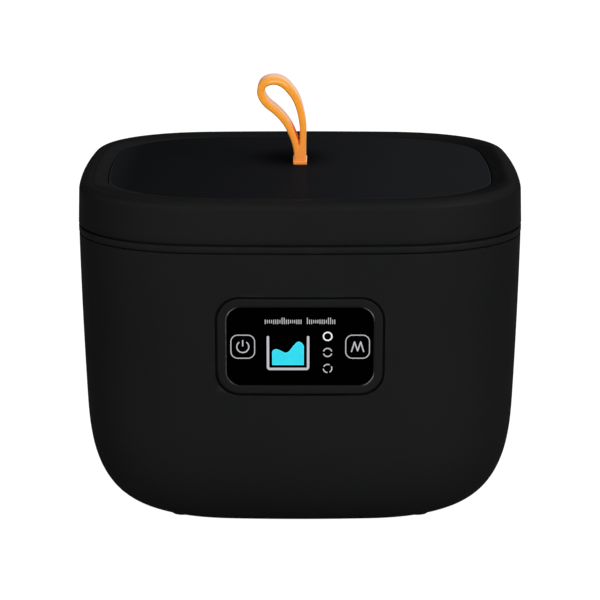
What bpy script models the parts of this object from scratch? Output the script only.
"""Household ultrasonic cleaner: a rounded-square housing with a steel tank, a lift-off lid with a
finger strap, a touch display and a bolt-clamped transducer with its driver board.

Lengths are in millimetres in the script and in metres in the scene. +Z is up, -Y is the front
(display side), +X is the right. The origin is on the ground, under the middle of the object.
"""
import math

import bmesh
import bpy
from mathutils import Vector

for old_object in list(bpy.data.objects):
    bpy.data.objects.remove(old_object, do_unlink=True)

MM = 0.001

# ---------------------------------------------------------------- driving dimensions (mm)
HALF_W = 90.0            # lid and trim ring, half width
HALF_D = 75.6            # half depth
CORNER_X = 50.4          # plan corner, along X and along Y
CORNER_Y = 40.2
CORNER_POWER = 2.46      # superellipse exponent of the plan corners
CROWN = 5.33             # how far each side bulges over its length
CORNER_STEPS = 6         # facets in one plan corner

Z_BOTTOM = 1.8           # underside of the base plate
Z_FILLET = 53.6          # where the bottom curve starts
FILLET_IN = 40.2         # how far the bottom curve comes in
FILLET_POWER = 2.77
TAPER = 0.008            # side taper
BOW = 1.548              # side bow over BOW_SPAN
BOW_SPAN = 90.0
Z_BODY_TOP = 122.4
Z_SIDE_TOP = Z_BODY_TOP + 0.18   # where taper and bow start
WALL = 2.6

Z_TRIM_LOW = 122.75
Z_TRIM_TOP = 125.55

TANK_IN = 20.2           # tank's inner face at the top, inset from the plan outline
TANK_T = 0.8
Z_TANK_FLANGE = 125.0
Z_TANK_FLOOR = 62.8      # inner floor

PLATE_IN = 30.0          # base plate edge, inset from the plan outline
PLATE_GAP = 0.3          # between the base plate's edge and the shell
BASE_SCREW_X, BASE_SCREW_Y = 55.0, 12.0

Z_BASKET_LOW = 66.0
Z_STRAP_PIVOT = 147.2
INLET_Z = 46.0

SIDES = (("left", -1), ("right", 1))
CORNERS = (("left_front", -1, -1), ("left_rear", -1, 1), ("right_front", 1, -1), ("right_rear", 1, 1))
QUARTER_TURN = math.radians(90)
UPSIDE_DOWN = (math.pi, 0, 0)
FACE_FRONT = (QUARTER_TURN, 0, 0)    # turns a piece's own +Z to -Y

# name: (base colour, roughness, metallic)
FINISHES = {
    "black_abs": ((0.012, 0.012, 0.012), 0.42, 0.0),
    "black_trim": ((0.010, 0.010, 0.010), 0.35, 0.0),
    "smoked_lens": ((0.002, 0.002, 0.002), 0.06, 0.0),
    "orange_silicone": ((0.93, 0.33, 0.03), 0.45, 0.0),
    "grey_silicone": ((0.30, 0.31, 0.32), 0.6, 0.0),
    "rubber": ((0.02, 0.02, 0.02), 0.8, 0.0),
    "stainless": ((0.62, 0.62, 0.63), 0.25, 1.0),
    "aluminium": ((0.72, 0.73, 0.74), 0.35, 1.0),
    "zinc_steel": ((0.55, 0.55, 0.56), 0.35, 1.0),
    "brass": ((0.75, 0.55, 0.25), 0.3, 1.0),
    "piezo": ((0.62, 0.58, 0.48), 0.5, 0.0),
    "circuit_board": ((0.02, 0.16, 0.07), 0.4, 0.0),
    "light_guide": ((0.85, 0.87, 0.88), 0.3, 0.0),
    "grey_basket": ((0.42, 0.44, 0.46), 0.45, 0.0),
    "ferrite": ((0.06, 0.055, 0.05), 0.6, 0.0),
    "wire_red": ((0.55, 0.02, 0.02), 0.5, 0.0),
    "wire_black": ((0.02, 0.02, 0.02), 0.5, 0.0),
    "wire_white": ((0.7, 0.7, 0.68), 0.5, 0.0),
    "sleeve_blue": ((0.03, 0.06, 0.22), 0.35, 0.0),
}

# ---------------------------------------------------------------- scene helpers
parts = bpy.data.collections.new("ultrasonic_cleaner")
cutters = bpy.data.collections.new("cutters")
bpy.context.scene.collection.children.link(parts)
bpy.context.scene.collection.children.link(cutters)


def material(finish, piece):
    """Each piece gets a material of its own."""
    colour, roughness, metallic = FINISHES[finish]
    mat = bpy.data.materials.new(piece + "_" + finish)
    mat.use_nodes = True
    shader = mat.node_tree.nodes["Principled BSDF"]
    shader.inputs["Base Color"].default_value = (*colour, 1.0)
    shader.inputs["Roughness"].default_value = roughness
    shader.inputs["Metallic"].default_value = metallic
    mat.diffuse_color = (*colour, 1.0)
    return mat


def world_of(parent):
    """World place of an unturned chain of parents, in metres."""
    total = Vector((0, 0, 0))
    while parent is not None:
        total += parent.location
        parent = parent.parent
    return total


def empty(name, z=0.0, parent=None):
    axis = bpy.data.objects.new(name, None)
    axis.empty_display_size = 0.01
    parts.objects.link(axis)
    axis.parent = parent
    axis.location = Vector((0, 0, z)) * MM - world_of(parent)
    return axis


def add_piece(name, data, finish, parent, at=(0, 0, 0), turn=(0, 0, 0)):
    """A named piece: its data placed at a world point (mm), kept under its body's empty."""
    data.name = name
    piece = bpy.data.objects.new(name, data)
    parts.objects.link(piece)
    piece.parent = parent
    piece.location = Vector(at) * MM - world_of(parent)
    piece.rotation_euler = turn
    data.materials.append(material(finish, name))
    return piece


def add_solid(name, mesh, *placing):
    """A mesh piece, smooth shaded with sharp corners; placing is as for add_piece."""
    mesh.shade_smooth()
    mesh.set_sharp_from_angle(angle=math.radians(35))
    return add_piece(name, mesh, *placing)


CUT, JOIN, KEEP = "DIFFERENCE", "UNION", "INTERSECT"


def combine(target, operation, name, mesh, at=(0, 0, 0), turn=(0, 0, 0)):
    """Cut a hidden helper from the target, join it on, or keep only what lies inside it."""
    mesh.name = "cut_" + name
    helper = bpy.data.objects.new(mesh.name, mesh)
    cutters.objects.link(helper)
    helper.location = Vector(at) * MM
    helper.rotation_euler = turn
    helper.hide_render = True
    helper.display_type = "WIRE"
    mod = target.modifiers.new(operation.lower() + "_" + helper.name, "BOOLEAN")
    mod.operation = operation
    mod.solver = "EXACT"
    mod.object = helper


# ---------------------------------------------------------------- plan outlines
def mirrored(quarter, end_y):
    """A full outline from its +X +Y quarter, which starts on the X axis; end_y is on the Y axis."""
    corner = quarter[1:]
    full = quarter + [(0.0, end_y)]
    full += [(-x, y) for x, y in reversed(corner)] + [(-quarter[0][0], 0.0)]
    full += [(-x, -y) for x, y in corner] + [(0.0, -end_y)]
    full += [(x, -y) for x, y in reversed(corner)]
    return full


def outline(inset=0.0, half_x=HALF_W, half_y=HALF_D, corner_x=CORNER_X, corner_y=CORNER_Y,
            power=CORNER_POWER, crown=CROWN):
    """A rounded square with superelliptic corners and crowned sides, moved in by inset."""
    end_x, end_y = half_x - inset, half_y - inset
    reach_x, reach_y = max(corner_x - inset, 6.0), max(corner_y - inset, 6.0)
    quarter = [(end_x, 0.0)]
    for k in range(CORNER_STEPS + 1):
        angle = 0.5 * math.pi * k / CORNER_STEPS
        across = abs(math.cos(angle)) ** (2 / power)
        along = abs(math.sin(angle)) ** (2 / power)
        quarter.append((end_x - reach_x + reach_x * across, end_y - reach_y + reach_y * along))
    crowned = [(x - crown * (y / half_y) ** 2 * (x / half_x),
                y - crown * (x / half_x) ** 2 * (y / half_y)) for x, y in quarter]
    return mirrored(crowned, end_y)


def scaled_outline(size, wall=0.0):
    """The plan outline come in by size with its corners in proportion, then moved in by wall."""
    scale_x, scale_y = (HALF_W - size) / HALF_W, (HALF_D - size) / HALF_D
    return outline(wall, HALF_W - size, HALF_D - size, CORNER_X * scale_x, CORNER_Y * scale_y,
                   crown=CROWN * scale_x)


def small_rect(half_x, half_y, radius, steps=CORNER_STEPS):
    """A small rounded rectangle; with the default steps it has as many points as outline()."""
    quarter = [(half_x, 0.0)]
    for k in range(steps + 1):
        angle = 0.5 * math.pi * k / steps
        quarter.append((half_x - radius + radius * math.cos(angle),
                        half_y - radius + radius * math.sin(angle)))
    return mirrored(quarter, half_y)


def rings(stations):
    """Sections of the plan outline from (inset, z) stations."""
    return [(outline(inset), z) for inset, z in stations]


def body_inset(z, low=Z_BOTTOM, come_in=FILLET_IN):
    """How far the housing has come in at a height: taper, bow and, low down, the bottom curve."""
    drop = Z_SIDE_TOP - z
    inset = TAPER * drop + BOW * (drop / BOW_SPAN) ** 2
    if z < Z_FILLET:
        part = min((Z_FILLET - z) / (Z_FILLET - low), 1.0)
        inset += come_in * (1 - max(1 - part ** FILLET_POWER, 0.0) ** (1 / FILLET_POWER))
    return inset


def height_at(inset):
    """Height on the bottom curve where the section has come in by inset, by bisection."""
    low, high = Z_BOTTOM, Z_FILLET
    for _ in range(60):
        middle = 0.5 * (low + high)
        if body_inset(middle) > inset:
            low = middle
        else:
            high = middle
    return 0.5 * (low + high)


def body_rings(heights):
    return [(scaled_outline(body_inset(z)), z) for z in heights]


def bowl(inset_top, z_top, inset_low, z_low, radius, steps=5):
    """Stations (inset, z) of a bowl from its rim to its floor, with a rounded foot."""
    stations = [(inset_top, z_top), (inset_low, z_low + radius)]
    for k in range(1, steps + 1):
        angle = 0.5 * math.pi * k / steps
        stations.append((inset_low + radius * (1 - math.cos(angle)),
                         z_low + radius * (1 - math.sin(angle))))
    return stations


# ---------------------------------------------------------------- flat outlines and lines
def rounded(width, height, radius, steps=4, at=(0, 0)):
    """A rounded rectangle about a point."""
    far_x, far_y = width / 2 - radius, height / 2 - radius
    points = []
    for x, y, start in ((far_x, far_y, 0), (-far_x, far_y, 90), (-far_x, -far_y, 180),
                        (far_x, -far_y, 270)):
        for k in range(steps + 1):
            angle = math.radians(start + 90 * k / steps)
            points.append((at[0] + x + radius * math.cos(angle),
                           at[1] + y + radius * math.sin(angle)))
    return points


def circle(radius, count, at=(0, 0)):
    angles = [2 * math.pi * k / count for k in range(count)]
    return [(at[0] + radius * math.cos(a), at[1] + radius * math.sin(a)) for a in angles]


def smooth_line(points, per=4):
    """Catmull-Rom line through the given points, with per steps between neighbours."""
    points = [Vector(p) for p in points]
    padded = [points[0] * 2 - points[1]] + points + [points[-1] * 2 - points[-2]]
    line = []
    for i in range(1, len(padded) - 2):
        before, start, end, after = padded[i - 1:i + 3]
        for k in range(per):
            t = k / per
            line.append(0.5 * ((2 * start) + (end - before) * t
                               + (2 * before - 5 * start + 4 * end - after) * t * t
                               + (3 * start - before - 3 * end + after) * t ** 3))
    line.append(points[-1])
    return line


# ---------------------------------------------------------------- solids
def finish_mesh(bm):
    bmesh.ops.recalc_face_normals(bm, faces=bm.faces)
    mesh = bpy.data.meshes.new("mesh")
    bm.to_mesh(mesh)
    bm.free()
    return mesh


def loft(sections, loop=False):
    """A closed solid through a chain of (points, z) sections. A loop joins the last section to
    the first; otherwise both ends are capped."""
    bm = bmesh.new()
    rows = [[bm.verts.new((x * MM, y * MM, z * MM)) for x, y in points] for points, z in sections]
    count = len(rows[0])
    pairs = list(zip(rows, rows[1:]))
    if loop:
        pairs.append((rows[-1], rows[0]))
    for lower, upper in pairs:
        for i in range(count):
            j = (i + 1) % count
            bm.faces.new((lower[i], lower[j], upper[j], upper[i]))
    if not loop:
        bm.faces.new(list(reversed(rows[0])))
        bm.faces.new(rows[-1])
    return finish_mesh(bm)


def box(size_x, size_y, size_z, lift=0.0):
    """A box centred on its placement point, or lifted above it."""
    bm = bmesh.new()
    bmesh.ops.create_cube(bm, size=1.0)
    for v in bm.verts:
        v.co = Vector((v.co.x * size_x, v.co.y * size_y, v.co.z * size_z + lift)) * MM
    return finish_mesh(bm)


def rod(radius, height, segments):
    """An upright cylinder standing on its placement point."""
    bm = bmesh.new()
    bmesh.ops.create_cone(bm, cap_ends=True, segments=segments, radius1=radius * MM,
                          radius2=radius * MM, depth=height * MM)
    bmesh.ops.translate(bm, verts=bm.verts, vec=Vector((0, 0, height / 2)) * MM)
    return finish_mesh(bm)


def torus(ring_radius, tube_radius, ring_steps, tube_steps):
    """A ring lying flat on its placement point."""
    bm = bmesh.new()
    for i in range(ring_steps):
        around = 2 * math.pi * i / ring_steps
        for j in range(tube_steps):
            about = 2 * math.pi * j / tube_steps
            reach = ring_radius + tube_radius * math.cos(about)
            bm.verts.new(Vector((reach * math.cos(around), reach * math.sin(around),
                                 tube_radius * math.sin(about) + tube_radius)) * MM)
    bm.verts.ensure_lookup_table()
    for i in range(ring_steps):
        here, there = i * tube_steps, (i + 1) % ring_steps * tube_steps
        for j in range(tube_steps):
            after = (j + 1) % tube_steps
            corners = (here + j, there + j, there + after, here + after)
            bm.faces.new([bm.verts[corner] for corner in corners])
    return finish_mesh(bm)


def evaluated_mesh(source):
    """The object's evaluated mesh, welded into a closed solid."""
    bpy.context.view_layer.update()
    graph = bpy.context.evaluated_depsgraph_get()
    mesh = bpy.data.meshes.new_from_object(source.evaluated_get(graph))
    bm = bmesh.new()
    bm.from_mesh(mesh)
    bmesh.ops.remove_doubles(bm, verts=bm.verts, dist=1e-6)
    bmesh.ops.recalc_face_normals(bm, faces=bm.faces)
    bm.to_mesh(mesh)
    bm.free()
    return mesh


def poly_spline(curve, points):
    spline = curve.splines.new("POLY")
    spline.points.add(len(points) - 1)
    for target, point in zip(spline.points, points):
        target.co = (*(Vector(point).to_3d() * MM), 1)
    return spline


def flat_plate(loops, thickness):
    """A flat outline with holes, extruded evenly about its own plane."""
    curve = bpy.data.curves.new("plate", "CURVE")
    curve.dimensions = "2D"
    curve.fill_mode = "BOTH"
    curve.extrude = thickness / 2 * MM
    for points in loops:
        poly_spline(curve, points).use_cyclic_u = True
    source = bpy.data.objects.new("plate_outline", curve)
    cutters.objects.link(source)
    mesh = evaluated_mesh(source)
    bpy.data.objects.remove(source, do_unlink=True)
    return mesh


def add_turned(name, profile, steps, *placing, closed=False):
    """A turned piece: its profile (radius, z) runs down the outer side, and a Screw modifier
    carries it round the piece's own Z. Placing is as for add_piece."""
    bm = bmesh.new()
    verts = [bm.verts.new((radius * MM, 0, z * MM)) for radius, z in profile]
    for pair in zip(verts, verts[1:]):
        bm.edges.new(pair)
    if closed:
        bm.edges.new((verts[-1], verts[0]))
    mesh = bpy.data.meshes.new(name)
    bm.to_mesh(mesh)
    bm.free()
    mod = add_piece(name, mesh, *placing).modifiers.new("turn", "SCREW")
    mod.axis = "Z"
    mod.angle = 2 * math.pi
    mod.steps = steps
    mod.render_steps = steps
    mod.use_merge_vertices = True
    mod.merge_threshold = 1e-6
    mod.use_smooth_shade = True


def add_wire(name, points, radius, finish, parent, resolution=1):
    """A lead or coil: a bevelled poly line with filled caps."""
    curve = bpy.data.curves.new(name, "CURVE")
    curve.dimensions = "3D"
    curve.bevel_depth = radius * MM
    curve.bevel_resolution = resolution
    curve.use_fill_caps = True
    poly_spline(curve, points)
    add_piece(name, curve, finish, parent)


def add_screw(name, parent, at, turn=(0, 0, 0), *, head_radius, head_height, radius, length):
    """A pan-head screw: its head stands on its placement point, its shaft runs down from it."""
    profile = [(0, head_height), (head_radius * 0.75, head_height),
               (head_radius, head_height * 0.55), (head_radius, 0), (radius, 0),
               (radius, -length + 0.8), (radius * 0.4, -length), (0, -length)]
    add_turned(name, profile, 8, "zinc_steel", parent, at, turn)


# ---------------------------------------------------------------- display placing
BEZEL_W, BEZEL_H, BEZEL_R = 65.6, 39.4, 9.2
BEZEL_GAP = 0.35         # to the opening in the shell, all round
LENS_W, LENS_H, LENS_R, LENS_T = 58.1, 32.0, 5.6, 1.6
LENS_GAP = 0.3
DISPLAY_Z = 85.4
DISPLAY_Y = -74.2        # lens face at its centre
DISPLAY_TILT = math.atan(0.0225)
DISPLAY_TURN = (QUARTER_TURN + DISPLAY_TILT, 0, 0)
POST_X = 30.0            # screw posts, left and right
KEY_X = 22.2             # touch keys, left and right


def on_display(x, y, out):
    """World point (mm) of a place on the display: x right, y up the face, out to the user."""
    sine, cosine = math.sin(DISPLAY_TILT), math.cos(DISPLAY_TILT)
    return (x, DISPLAY_Y - y * sine - out * cosine, DISPLAY_Z + y * cosine - out * sine)


def combine_on_display(target, operation, name, shape, out_low, out_high):
    """Combine with a plate of the given outline that spans out_low to out_high."""
    combine(target, operation, name, flat_plate([shape], out_high - out_low),
            on_display(0, 0, (out_low + out_high) / 2), DISPLAY_TURN)


# ---------------------------------------------------------------- housing shell
TOP_CHAMFER = 0.35
OUTER_HEIGHTS = (121.9, 104.0, 84.0, 66.0, Z_FILLET, 40.0, 30.0, 22.0, 15.0, 9.5, 5.6)
INNER_HEIGHTS = (8.6, 11.5, 17.0, 25.0, 38.0, 56.0, 88.0)
LEDGE_IN = 39.7          # opening in the housing's underside
Z_LEDGE = 5.4
Z_FLOOR = 7.6


def build_body_shell(parent):
    """Outer side downwards, round the ledge of the bottom opening, then up the inner side."""
    mouth = scaled_outline(PLATE_IN - PLATE_GAP)
    opening = scaled_outline(LEDGE_IN)
    sections = [(scaled_outline(body_inset(Z_BODY_TOP) + TOP_CHAMFER), Z_BODY_TOP)]
    sections += body_rings(OUTER_HEIGHTS)
    sections += [(mouth, height_at(PLATE_IN - PLATE_GAP)), (mouth, Z_LEDGE),
                 (opening, Z_LEDGE), (opening, Z_FLOOR + 0.3)]
    sections += [(scaled_outline(body_inset(z, Z_FLOOR, FILLET_IN - WALL), WALL), z)
                 for z in INNER_HEIGHTS]
    sections.append((scaled_outline(body_inset(Z_BODY_TOP), WALL), Z_BODY_TOP))
    shell = add_solid("body_shell", loft(sections, loop=True), "black_abs", parent)

    opening_shape = rounded(BEZEL_W + 2 * BEZEL_GAP, BEZEL_H + 2 * BEZEL_GAP,
                            BEZEL_R + BEZEL_GAP, 5)
    combine_on_display(shell, CUT, "display_opening", opening_shape, -14, 10)
    combine(shell, CUT, "inlet_opening", box(25.2, 12.0, 14.2), (0, 74, INLET_Z))
    for tag, side_x, side_y in CORNERS:
        combine(shell, CUT, "ledge_hole_" + tag, rod(1.6, 8.0, 10),
                (side_x * BASE_SCREW_X, side_y * BASE_SCREW_Y, 4.0))


# ---------------------------------------------------------------- trim ring, gasket and tank
# (inset, z) sections of the rings
TRIM_SECTION = [
    (0.15, Z_TRIM_LOW), (0.0, Z_TRIM_LOW + 0.25), (0.0, Z_TRIM_TOP - 0.3), (0.3, Z_TRIM_TOP),
    (10.3, Z_TRIM_TOP), (10.3, 122.6), (18.3, 122.6), (18.3, 120.6), (5.4, 120.6), (5.4, 116.5),
    (3.3, 116.5), (3.3, Z_TRIM_LOW)]
GASKET_SECTION = [(11.2, 122.9), (11.2, 123.9), (17.4, 123.9), (17.4, 122.9)]
FLANGE_EDGE_IN = 10.8    # outer edge of the tank's flange
TANK_LEAN = 0.9          # how far the tank's sides come in
TANK_FOOT_R = 10.0


def build_trim_ring(parent):
    add_solid("trim_ring", loft(rings(TRIM_SECTION), loop=True), "black_trim", parent)


def build_tank_gasket(parent):
    add_solid("tank_gasket", loft(rings(GASKET_SECTION), loop=True), "grey_silicone", parent)


def build_tank(parent):
    """A drawn sheet: up the inside, over the flange, down the outside."""
    z_wall = Z_TANK_FLANGE - 1.2
    inner = bowl(TANK_IN, z_wall, TANK_IN + TANK_LEAN, Z_TANK_FLOOR, TANK_FOOT_R)
    outer = bowl(TANK_IN - TANK_T, z_wall, TANK_IN + TANK_LEAN - TANK_T, Z_TANK_FLOOR - TANK_T,
                 TANK_FOOT_R + TANK_T)
    flange = [(TANK_IN - 0.35, Z_TANK_FLANGE - 0.35), (TANK_IN - 1.2, Z_TANK_FLANGE),
              (FLANGE_EDGE_IN, Z_TANK_FLANGE), (FLANGE_EDGE_IN, Z_TANK_FLANGE - TANK_T),
              (TANK_IN - 1.3, Z_TANK_FLANGE - TANK_T)]
    add_solid("tank", loft(rings(inner[::-1] + flange + outer)), "stainless", parent)


# ---------------------------------------------------------------- display
DISPLAY_SCREW = dict(head_radius=2.4, head_height=1.6, radius=0.95, length=5.6)
SPRING_R, SPRING_TURNS, SPRING_STEPS = 2.6, 4, 6     # steps are per turn
SPRING_LOW, SPRING_H = -7.6, 5.2                     # along the display's outward direction


def build_display_bezel(parent):
    """Cut from a block with the housing's own side, so that its face follows the shell."""
    stock = loft(body_rings((110.0, 104.0, 84.0, 66.0, 60.0)))
    bezel = add_solid("display_bezel", stock, "black_trim", parent)
    combine_on_display(bezel, KEEP, "bezel_outline", rounded(BEZEL_W, BEZEL_H, BEZEL_R, 5),
                       -3.2, 10)
    pocket = rounded(LENS_W + 2 * LENS_GAP, LENS_H + 2 * LENS_GAP, LENS_R + LENS_GAP, 5)
    combine_on_display(bezel, CUT, "lens_pocket", pocket, -1.9, 8)
    combine_on_display(bezel, CUT, "rear_window", rounded(55.0, 28.6, 3.0, 3), -6, 2)
    for tag, side in SIDES:
        combine(bezel, JOIN, "bezel_post_" + tag, rod(2.4, 5.4, 12),
                on_display(side * POST_X, 0, -8.0), DISPLAY_TURN)
        combine(bezel, CUT, "bezel_post_hole_" + tag, rod(1.3, 6.0, 10),
                on_display(side * POST_X, 0, -9.0), DISPLAY_TURN)


def build_display_stack(parent):
    """Lens, light guide and board, from the face inwards."""
    board = [rounded(66.0, 34.0, 2.0, 2), circle(1.5, 10, (-POST_X, 0)), circle(1.5, 10, (POST_X, 0))]
    # name, loops, thickness, finish, middle along the outward direction
    layers = (
        ("display_lens", [rounded(LENS_W, LENS_H, LENS_R, 6)], LENS_T, "smoked_lens", -LENS_T / 2),
        ("display_light_guide", [rounded(31.0, 25.0, 2.0, 2, (-0.5, 0))], 5.6, "light_guide", -4.9),
        ("display_board", board, 1.4, "circuit_board", -9.1),
    )
    for name, loops, thickness, finish, out in layers:
        add_solid(name, flat_plate(loops, thickness), finish, parent, on_display(0, 0, out),
                  DISPLAY_TURN)


def build_display_screws(parent):
    """Heads behind the board, shafts towards the front."""
    for tag, side in SIDES:
        add_screw("display_screw_" + tag, parent, on_display(side * POST_X, 0, -10.1),
                  (DISPLAY_TILT - QUARTER_TURN, 0, 0), **DISPLAY_SCREW)


def build_touch_springs(parent):
    for name, x in (("power_touch_spring", -KEY_X), ("mode_touch_spring", KEY_X)):
        coil = []
        for k in range(SPRING_TURNS * SPRING_STEPS + 1):
            angle = 2 * math.pi * k / SPRING_STEPS
            coil.append(on_display(x + SPRING_R * math.cos(angle), SPRING_R * math.sin(angle),
                                   SPRING_LOW + SPRING_H * k / (SPRING_TURNS * SPRING_STEPS)))
        add_wire(name, coil, 0.28, "zinc_steel", parent, resolution=0)


# ---------------------------------------------------------------- transducer under the tank
Z_TRANSDUCER = Z_TANK_FLOOR - TANK_T - 0.3
STACK_R = 17.6           # piezo rings, electrodes and back mass
STACK_STEPS = 24
PIEZO_BORE, PIEZO_H = 7.0, 5.0
BORE = 5.0               # bolt bore of the two masses

# (radius, z) profiles
FRONT_MASS = [
    (0, Z_TRANSDUCER), (22.0, Z_TRANSDUCER), (22.0, Z_TRANSDUCER - 3.0),
    (18.0, Z_TRANSDUCER - 11.0), (18.0, 42.3), (BORE, 42.3), (BORE, 52.0), (0, 53.0)]
BACK_MASS = [(BORE, 29.8), (STACK_R, 29.8), (STACK_R, 22.0), (15.5, 19.4), (BORE, 19.4)]
BOLT = [(0, 51.0), (3.4, 51.0), (4.4, 50.0), (4.4, 19.1), (7.6, 19.1), (7.6, 16.0), (6.8, 15.2),
        (0, 15.2)]


def build_electrode(parent, name, z, angle):
    """A thin contact ring with a solder tab that points away at the given angle in degrees."""
    tab_root, tab_end, tab_half_w = 17.5, 22.0, 1.6
    step = 360 // STACK_STEPS
    ring = circle(STACK_R, STACK_STEPS)
    nearest = min(range(STACK_STEPS), key=lambda k: abs((step * k - angle + 180) % 360 - 180))
    cosine, sine = math.cos(math.radians(angle)), math.sin(math.radians(angle))
    tab = [(reach * cosine + tab_half_w * sine * side, reach * sine - tab_half_w * cosine * side)
           for reach, side in ((tab_root, 1), (tab_end, 1), (tab_end, -1), (tab_root, -1))]
    ring[nearest:nearest + 1] = tab
    add_solid(name, flat_plate([ring, circle(PIEZO_BORE, 16)], 0.4), "brass", parent, (0, 0, z))


def build_piezo_ring(parent, name, z_top):
    z_low = z_top - PIEZO_H
    profile = [(PIEZO_BORE, z_top), (STACK_R, z_top), (STACK_R, z_low), (PIEZO_BORE, z_low)]
    add_turned(name, profile, STACK_STEPS, "piezo", parent, closed=True)


def build_transducer(parent):
    add_turned("transducer_front_mass", FRONT_MASS, STACK_STEPS, "aluminium", parent)
    build_electrode(parent, "electrode_upper", 41.7, 270)
    build_piezo_ring(parent, "piezo_ring_upper", 41.1)
    build_electrode(parent, "electrode_lower", 35.6, 240)
    build_piezo_ring(parent, "piezo_ring_lower", 35.1)
    add_turned("transducer_back_mass", BACK_MASS, STACK_STEPS, "zinc_steel", parent, closed=True)
    add_turned("transducer_bolt", BOLT, 12, "zinc_steel", parent)


# ---------------------------------------------------------------- base plate and feet
FOOT_X, FOOT_Y, FOOT_R, FOOT_H = 49.0, 31.0, 5.0, 1.45
Z_BOARD = 11.0           # underside of the driver board
BOARD_HALF_X, BOARD_HALF_Y, BOARD_T = 46.0, 31.0, 1.6
PART_GAP = 0.3           # below the board and between the board and its parts
Z_ON_BOARD = Z_BOARD + BOARD_T + PART_GAP
STANDOFF_X, STANDOFF_Y, STANDOFF_H = 39.0, 24.5, 7.6
VENT_X, VENT_PITCH = 16.0, 8.0
BASE_SCREW = dict(head_radius=2.7, head_height=1.6, radius=1.25, length=5.6)
BOARD_SCREW = dict(head_radius=2.7, head_height=1.7, radius=1.05, length=6.4)


def build_base_plate(parent):
    # (size, z) sections from the inner step down round the edge to the underside
    stations = [(41.6, 3.9), (41.0, 5.1), (PLATE_IN, 5.1)]
    stations += [(size, height_at(size)) for size in (PLATE_IN, 33.5, 38.0)]
    stations.append((43.6, Z_BOTTOM))
    mesh = loft([(scaled_outline(size), z) for size, z in stations])
    base = add_solid("base_plate", mesh, "black_abs", parent)

    for tag, side_x, side_y in CORNERS:
        x, y = side_x * STANDOFF_X, side_y * STANDOFF_Y
        combine(base, JOIN, "standoff_" + tag, rod(3.2, STANDOFF_H, 12),
                (x, y, Z_BOARD - PART_GAP - STANDOFF_H))
        combine(base, CUT, "standoff_hole_" + tag, rod(1.3, 6.4, 8), (x, y, 5.4))
    for tag, side_x, side_y in CORNERS:
        place = (side_x * BASE_SCREW_X, side_y * BASE_SCREW_Y, 1.0)
        combine(base, CUT, "base_hole_" + tag, rod(1.6, 6.0, 10), place)
        combine(base, CUT, "base_pocket_" + tag, rod(3.2, 3.2, 12), place)
    for tag, side in SIDES:
        for k in range(3):
            combine(base, CUT, "vent_%s_%d" % (tag, k + 1), box(22.0, 2.6, 8.0),
                    (side * VENT_X, VENT_PITCH * (k - 1), 3.0))


def build_base_screws_and_feet(parent):
    foot = [(0, FOOT_H), (FOOT_R, FOOT_H), (FOOT_R, 0.4), (FOOT_R - 0.4, 0), (0, 0)]
    for tag, side_x, side_y in CORNERS:
        add_screw("base_screw_" + tag, parent,
                  (side_x * BASE_SCREW_X, side_y * BASE_SCREW_Y, 3.8), UPSIDE_DOWN, **BASE_SCREW)
        add_turned("foot_" + tag, foot, 16, "rubber", parent,
                   (side_x * FOOT_X, side_y * FOOT_Y, 0))


# ---------------------------------------------------------------- driver board and its parts
TRANSFORMER_H, TRANSISTOR_H = 16.0, 15.0
FIN_COUNT, FIN_PITCH, FIN_T, FIN_REACH = 5, 6.5, 2.0, 10.0
SINK_BACK_T, SINK_H = 2.4, 18.0
CAPACITOR = [(0, 20.0), (5.4, 20.0), (6.2, 19.2), (6.2, 0.6), (5.6, 0), (0, 0)]   # (radius, z)
FUSE_R, FUSE_HALF_L = 2.6, 10.0


def build_driver_board(parent):
    places = [(side_x * STANDOFF_X, side_y * STANDOFF_Y) for _, side_x, side_y in CORNERS]
    loops = [rounded(2 * BOARD_HALF_X, 2 * BOARD_HALF_Y, 3.0, 3)]
    loops += [circle(1.7, 10, place) for place in places]
    add_solid("driver_board", flat_plate(loops, BOARD_T), "circuit_board", parent,
              (0, 0, Z_BOARD + BOARD_T / 2))
    for (tag, _, _), place in zip(CORNERS, places):
        add_screw("board_screw_" + tag, parent, (*place, Z_ON_BOARD), **BOARD_SCREW)


def build_transformer(parent):
    core = add_solid("transformer", box(20.0, 22.0, TRANSFORMER_H, lift=TRANSFORMER_H / 2),
                     "ferrite", parent, (-31.0, 4.0, Z_ON_BOARD))
    mod = core.modifiers.new("edges", "BEVEL")
    mod.width = 1.2 * MM
    mod.segments = 1


def build_filter_choke(parent):
    ring = torus(ring_radius=6.0, tube_radius=2.6, ring_steps=16, tube_steps=8)
    add_solid("filter_choke", ring, "ferrite", parent, (-31.0, -17.0, Z_ON_BOARD))


def build_heat_sink(parent):
    """A comb in plan: a back along Y with fins to the right."""
    half_y = (FIN_PITCH * (FIN_COUNT - 1) + FIN_T) / 2
    comb = [(0.0, -half_y)]
    for k in range(FIN_COUNT):
        y = -half_y + FIN_PITCH * k
        comb += [(FIN_REACH, y), (FIN_REACH, y + FIN_T)]
        if k < FIN_COUNT - 1:
            comb += [(SINK_BACK_T, y + FIN_T), (SINK_BACK_T, y + FIN_PITCH)]
    comb.append((0.0, half_y))
    add_solid("heat_sink", flat_plate([comb], SINK_H), "aluminium", parent,
              (28.0, 6.0, Z_ON_BOARD + SINK_H / 2))


def build_small_parts(parent):
    add_solid("power_transistor", box(4.4, 10.0, TRANSISTOR_H, lift=TRANSISTOR_H / 2), "ferrite",
              parent, (25.4, 6.0, Z_ON_BOARD + 1.0))
    add_turned("filter_capacitor", CAPACITOR, 16, "sleeve_blue", parent, (33.0, -16.5, Z_ON_BOARD))
    fuse = [(0, FUSE_HALF_L), (FUSE_R, FUSE_HALF_L), (FUSE_R, -FUSE_HALF_L), (0, -FUSE_HALF_L)]
    add_turned("mains_fuse", fuse, 12, "light_guide", parent, (-4.0, 24.5, Z_ON_BOARD + 2.7),
               (0, QUARTER_TURN, 0))


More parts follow.
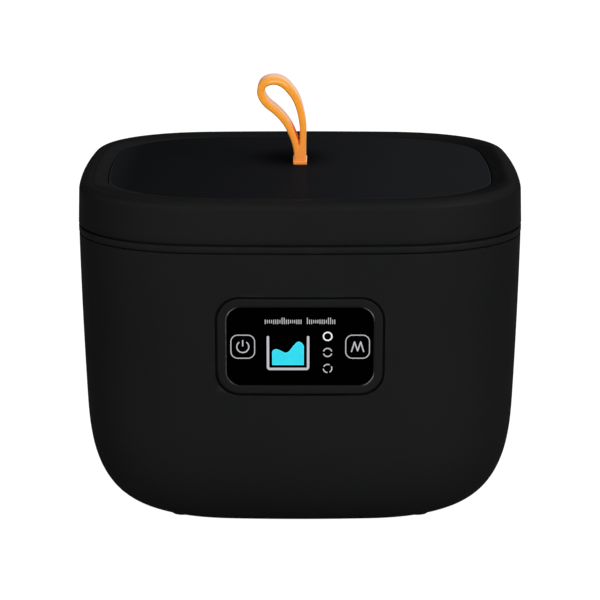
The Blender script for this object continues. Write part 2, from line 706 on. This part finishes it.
# name, radius, finish, points (x, y, z) that the lead runs through
LEADS = (
    ("transducer_lead_hot", 0.8, "wire_red",
     [(0.0, -23.0, 41.7), (1.5, -25.5, 37.0), (4.0, -27.0, 26.0), (5.0, -25.0, 13.7)]),
    ("transducer_lead_ground", 0.8, "wire_black",
     [(-11.7, -20.2, 35.6), (-13.5, -23.5, 31.0), (-15.5, -25.5, 22.0), (-14.0, -24.0, 13.7)]),
    ("display_cable", 1.0, "wire_white",
     [(12.0, -62.2, 72.0), (12.5, -61.2, 60.0), (13.0, -60.0, 42.0), (14.0, -50.0, 24.0),
      (14.0, -34.0, 16.5), (14.0, -25.5, 13.9)]),
    ("power_lead", 1.5, "wire_black",
     [(0.0, 57.4, INLET_Z), (3.0, 53.0, 44.5), (10.0, 49.0, 34.0), (16.0, 43.0, 22.0),
      (17.0, 33.0, 16.6), (17.0, 26.0, 14.7)]),
)


def build_leads(parent):
    for name, radius, finish, points in LEADS:
        add_wire(name, smooth_line(points), radius, finish, parent)


# ---------------------------------------------------------------- power inlet at the rear
Y_REAR = HALF_D - body_inset(INLET_Z)    # rear wall at the inlet's height
FLANGE_T = 1.15
PIN_X = 4.3
SOCKET_R = 3.9
PIN = [(0, 10.5), (0.7, 10.5), (1.2, 10.0), (1.2, -5.0), (0, -5.0)]     # (radius, z)


def build_power_inlet(parent):
    """A flange and body with a round-ended socket; the pins point to the rear."""
    inlet = add_solid("power_inlet", flat_plate([rounded(28.6, 16.4, 2.5, 3)], FLANGE_T),
                      "black_trim", parent, (0, Y_REAR + 0.62 + FLANGE_T / 2, INLET_Z), FACE_FRONT)
    combine(inlet, JOIN, "inlet_body", box(24.4, 15.0, 13.4), (0, Y_REAR + 0.9 - 7.5, INLET_Z))
    socket = []
    for k in range(13):
        angle = math.radians(-90 + 180 * k / 12)
        socket.append((PIN_X + SOCKET_R * math.cos(angle), SOCKET_R * math.sin(angle)))
    socket += [(-x, -y) for x, y in socket]
    combine(inlet, CUT, "inlet_socket", flat_plate([socket], 14.0), (0, Y_REAR - 4.2, INLET_Z),
            FACE_FRONT)
    for tag, side in SIDES:
        combine(inlet, CUT, "inlet_pin_bore_" + tag, rod(1.6, 12.0, 10),
                (side * PIN_X, Y_REAR - 8.0, INLET_Z), FACE_FRONT)
        add_turned("inlet_pin_" + tag, PIN, 12, "brass", parent,
                   (side * PIN_X, Y_REAR - 11.5, INLET_Z), (-QUARTER_TURN, 0, 0))


# ---------------------------------------------------------------- basket
BASKET_IN = 26.0         # outer face at the top, inset from the plan outline
BASKET_LEAN = 4.0
BASKET_T = 1.8
BASKET_RIM = 1.6         # how far the rim stands out
Z_BASKET_TOP = 104.0
Z_RIM_LOW = Z_BASKET_TOP - 2.0


def build_basket(parent):
    outer = bowl(BASKET_IN, Z_RIM_LOW, BASKET_IN + BASKET_LEAN, Z_BASKET_LOW, 6.0, 3)
    inner = bowl(BASKET_IN + BASKET_T, Z_BASKET_TOP, BASKET_IN + BASKET_LEAN + BASKET_T,
                 Z_BASKET_LOW + BASKET_T, 4.4, 3)
    rim = [(BASKET_IN - BASKET_RIM, Z_BASKET_TOP), (BASKET_IN - BASKET_RIM, Z_RIM_LOW)]
    basket = add_solid("basket", loft(rings(inner[::-1] + rim + outer)), "grey_basket", parent)

    # slots in the floor, then windows through front and rear, then through left and right
    for row in range(3):
        for column in range(3):
            combine(basket, CUT, "basket_slot_%d_%d" % (row + 1, column + 1), box(22.0, 5.0, 8.0),
                    (30.0 * (column - 1), 18.0 * (row - 1), Z_BASKET_LOW))
    for k in range(4):
        combine(basket, CUT, "basket_window_%d" % (k + 1), box(10.0, 140.0, 18.0),
                (-33.0 + 22.0 * k, 0, 87.0))
    for k in range(2):
        combine(basket, CUT, "basket_end_window_%d" % (k + 1), box(160.0, 8.0, 14.0),
                (0, -14.0 + 28.0 * k, 85.0))
    for tag, side in SIDES:
        grip = [rounded(34.0, 22.0, 5.0, 3), rounded(22.0, 7.0, 3.2, 3, (0, 4.0))]
        combine(basket, JOIN, "grip_" + tag, flat_plate(grip, 2.4), (side * 62.6, 0, 106.0),
                (QUARTER_TURN, 0, QUARTER_TURN))
    for tag, side_x, side_y in CORNERS:
        combine(basket, JOIN, "basket_foot_" + tag, rod(2.5, 3.9, 10),
                (side_x * 42.0, side_y * 28.0, 63.1))


# ---------------------------------------------------------------- lid
Z_LID_LOW = 126.05
Z_LID_EDGE = 139.4
Z_LID_CREST = 142.33
CREST_IN = 5.4
Z_RECESS = 138.6         # floor of the lid's recess
Z_LID_CEIL = 136.2
PANEL_HALF_X, PANEL_HALF_Y = 78.6, 64.2
PANEL_CORNER_X, PANEL_CORNER_Y, PANEL_POWER = 39.4, 32.7, 2.2
Z_PANEL_EDGE = 141.2
Z_PANEL_MID = 142.3
Z_PANEL_LOW = Z_RECESS + 0.3
ROOT_HALF_X, ROOT_HALF_Y = 3.0, 6.5      # strap root, where it passes through the lid
ANCHOR_X = 10.0
ANCHOR_SCREW = dict(head_radius=2.4, head_height=1.5, radius=1.0, length=5.4)

# (inset, z) sections of the rings
LINER_SECTION = [
    (27.0, 121.6), (22.6, 121.6), (22.6, 129.4), (3.1, 129.4), (3.1, 127.4), (11.0, 127.4),
    (11.0, 128.0), (17.0, 128.0), (17.0, 126.4), (21.2, 126.4), (21.2, 120.4), (22.2, 119.6),
    (27.0, 119.6)]
SEAL_SECTION = [(11.6, 125.35), (11.3, 127.6), (16.7, 127.6), (16.4, 125.35)]


def panel_outline(inset=0.0, scale=1.0):
    return outline(inset, PANEL_HALF_X * scale, PANEL_HALF_Y * scale, PANEL_CORNER_X * scale,
                   PANEL_CORNER_Y * scale, PANEL_POWER, CROWN * scale)


def root_slot(gap):
    """The slot round the strap root, with a gap all round."""
    return small_rect(ROOT_HALF_X + gap, ROOT_HALF_Y + gap, 0.6)


def build_lid_shell(parent):
    """Up the side, over the crest, into the recess, through the strap slot and back inside."""
    sections = rings([(0.3, Z_LID_LOW), (0.0, Z_LID_LOW + 0.3), (0.0, Z_LID_EDGE)])
    for degrees in (30, 60, 90):
        angle = math.radians(degrees)
        sections.append((outline(CREST_IN * (1 - math.cos(angle))),
                         Z_LID_EDGE + (Z_LID_CREST - Z_LID_EDGE) * math.sin(angle)))
    sections += [(panel_outline(-0.5), 141.45), (panel_outline(), 141.0),
                 (panel_outline(), Z_RECESS), (root_slot(0.6), Z_RECESS),
                 (root_slot(0.6), Z_LID_CEIL)]
    sections += rings([(9.0, Z_LID_CEIL), (WALL, 134.2), (WALL, Z_LID_LOW)])
    shell = add_solid("lid_shell", loft(sections, loop=True), "black_abs", parent)
    for tag, side in SIDES:
        combine(shell, CUT, "anchor_hole_" + tag, rod(1.3, 3.4, 10), (side * ANCHOR_X, 0, 134.6))


def build_lid_top_panel(parent):
    """A slightly domed panel in the recess, open round the strap root."""
    sections = [(panel_outline(0.3), Z_PANEL_LOW), (panel_outline(0.3), Z_PANEL_EDGE - 0.35),
                (panel_outline(0.8), Z_PANEL_EDGE)]
    for scale in (0.82, 0.6, 0.36):
        sections.append((panel_outline(scale=scale),
                         Z_PANEL_EDGE + (Z_PANEL_MID - Z_PANEL_EDGE) * (1 - scale * scale)))
    sections += [(root_slot(0.3), Z_PANEL_MID), (root_slot(0.3), Z_PANEL_LOW)]
    add_solid("lid_top_panel", loft(sections, loop=True), "black_abs", parent)


def build_lid_liner_and_seal(parent):
    add_solid("lid_liner", loft(rings(LINER_SECTION)), "black_trim", parent)
    add_solid("lid_seal", loft(rings(SEAL_SECTION), loop=True), "grey_silicone", parent)


def build_strap_anchor(parent):
    """The strap's root with its wide foot, and the plate and screws under it."""
    stem = small_rect(ROOT_HALF_X, ROOT_HALF_Y, 0.5, 2)
    foot = small_rect(7.0, 9.0, 0.5, 2)
    root = loft([(stem, 144.3), (stem, 135.9), (foot, 135.9), (foot, 134.2)])
    add_solid("strap_root", root, "orange_silicone", parent)
    plate = [rounded(28.0, 20.0, 3.0, 3)]
    plate += [circle(1.6, 10, (side * ANCHOR_X, 0)) for _, side in SIDES]
    add_solid("strap_anchor_plate", flat_plate(plate, 1.6), "zinc_steel", parent, (0, 0, 133.1))
    for tag, side in SIDES:
        add_screw("anchor_screw_" + tag, parent, (side * ANCHOR_X, 0, 132.0), UPSIDE_DOWN,
                  **ANCHOR_SCREW)


# ---------------------------------------------------------------- finger strap
STRAP_T = 2.6            # band thickness
STRAP_W = 12.0           # band width, along Y
Z_INNER_LOW = 152.0      # the loop's opening keeps the band's inner side above this
CROTCH = (-0.35, 150.8)  # (x, z), lowest point of the opening
# centre line in front view (x, z), from the right leg over the top to the left leg
STRAP_LINE = [
    (1.30, 147.2), (1.33, 151.5), (1.36, 156.9), (0.72, 162.0), (-0.85, 168.2), (-3.35, 172.9),
    (-5.86, 175.7), (-8.4, 177.2), (-10.71, 177.6), (-13.1, 177.25), (-15.1, 175.85),
    (-16.05, 173.2), (-15.35, 170.3), (-13.2, 167.5), (-9.9, 164.7), (-6.6, 161.2),
    (-4.15, 157.2), (-2.05, 151.6), (-1.30, 147.2)]


def build_strap_loop(parent):
    """The band's two sides, offset from its centre line; the legs end in a round pivot."""
    line = [tuple(point) for point in smooth_line(STRAP_LINE, 3)]
    outer, inner = [], []
    for i, (x, z) in enumerate(line):
        x_before, z_before = line[max(i - 1, 0)]
        x_after, z_after = line[min(i + 1, len(line) - 1)]
        run, rise = x_after - x_before, z_after - z_before
        length = math.hypot(run, rise)
        shift_x, shift_z = STRAP_T / 2 * rise / length, -STRAP_T / 2 * run / length
        outer.append((x + shift_x, z + shift_z))
        if z - shift_z > Z_INNER_LOW:
            inner.append((x - shift_x, z - shift_z))
    inner.append(CROTCH)
    for k in range(1, 8):
        angle = math.radians(180 + 180 * k / 8)
        outer.append((STRAP_T * math.cos(angle), Z_STRAP_PIVOT + STRAP_T * math.sin(angle)))
    loops = [[(x, z - Z_STRAP_PIVOT) for x, z in side] for side in (outer, inner)]
    add_solid("strap_loop", flat_plate(loops, STRAP_W), "orange_silicone", parent,
              (0, 0, Z_STRAP_PIVOT), FACE_FRONT)


# ---------------------------------------------------------------- assembly
housing = empty("housing")
lid = empty("lid_lift_axis", Z_TRIM_TOP)
basket_axis = empty("basket_lift_axis", Z_BASKET_LOW)
strap_axis = empty("strap_pivot_axis", Z_STRAP_PIVOT, lid)

for build in (build_body_shell, build_trim_ring, build_tank_gasket, build_tank,
              build_display_bezel, build_display_stack, build_display_screws,
              build_touch_springs, build_transducer, build_base_plate,
              build_base_screws_and_feet, build_driver_board, build_transformer,
              build_filter_choke, build_heat_sink, build_small_parts, build_leads,
              build_power_inlet):
    build(housing)
build_basket(basket_axis)
for build in (build_lid_shell, build_lid_top_panel, build_lid_liner_and_seal, build_strap_anchor):
    build(lid)
build_strap_loop(strap_axis)
